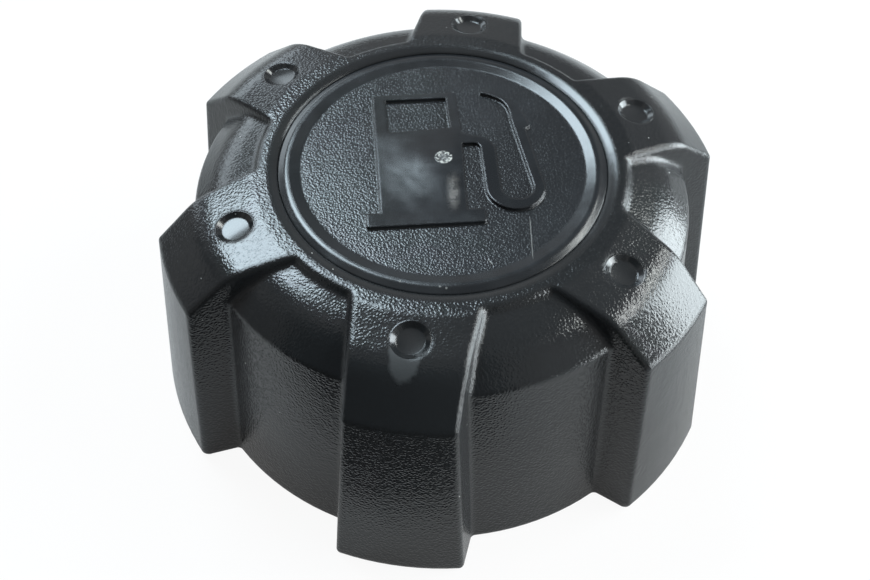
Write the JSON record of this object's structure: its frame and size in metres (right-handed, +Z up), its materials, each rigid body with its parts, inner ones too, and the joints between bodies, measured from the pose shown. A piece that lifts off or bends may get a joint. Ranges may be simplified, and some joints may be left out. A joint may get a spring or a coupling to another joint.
{
  "type": "fuel filler cap",
  "caption": "Round screw-on fuel filler cap: lobed hollow grip shell, inset badge disc with a fuel pump figure, and a ratcheting, vented threaded closure inside.",
  "frame": {"origin": "centre of the foot plane, on the cap's axis", "axes": "+Z up along the cap's axis, away from the filler neck; one lobe points along -Y"},
  "size_m": [0.0852, 0.0898, 0.0408],
  "materials": {
    "grip_plastic": "black, leather grain",
    "badge_plastic": "black, grained field with a smooth figure and rim",
    "inner_plastic": "black, smooth",
    "pawl_plastic": "natural acetal",
    "valve_plastic": "natural acetal",
    "filter_plastic": "sintered",
    "seal_rubber": "smooth",
    "spring_steel": "drawn wire",
    "ball_steel": "polished",
    "screw_steel": "zinc plated"
  },
  "bodies": {
    "grip": {"grip_shell": "grip_plastic", "badge_disc": "badge_plastic", "retaining_ring": "spring_steel"},
    "closure": {"closure_body": "inner_plastic", "ratchet_ring": "pawl_plastic", "spring_washer": "spring_steel", "neck_gasket": "seal_rubber", "valve_housing": "inner_plastic", "housing_seal": "seal_rubber", "pressure_spring": "spring_steel", "spring_seat": "valve_plastic", "vent_filter": "filter_plastic", "ball_cage": "valve_plastic", "splash_baffle": "inner_plastic", "baffle_screws": "screw_steel"},
    "pressure_valve": {"pressure_plate": "valve_plastic", "pressure_seal": "seal_rubber", "vacuum_spring": "spring_steel"},
    "vacuum_valve": {"vacuum_poppet": "valve_plastic", "vacuum_seal": "seal_rubber", "vacuum_clip": "spring_steel"},
    "ball": {"rollover_ball": "ball_steel"}
  },
  "joints": [
    {"name": "ratchet_turn", "type": "hinge", "parent": "grip", "child": "closure", "pos_m": [0, 0, 0.0335], "axis": [0, 0, 1], "continuous": true},
    {"name": "pressure_lift", "type": "slide", "parent": "closure", "child": "pressure_valve", "axis": [0, 0, 1], "range_m": [0, 0.0015], "stiffness_N_per_m": 100, "springref_m": -0.002, "deforming": ["pressure_spring"]},
    {"name": "vacuum_drop", "type": "slide", "parent": "pressure_valve", "child": "vacuum_valve", "axis": [0, 0, -1], "range_m": [0, 0.0006], "stiffness_N_per_m": 60, "springref_m": -0.002, "deforming": ["vacuum_spring"]},
    {"name": "ball_shift", "type": "slide", "parent": "closure", "child": "ball", "axis": [0, 0, 1], "range_m": [0, 0.0018]}
  ]
}
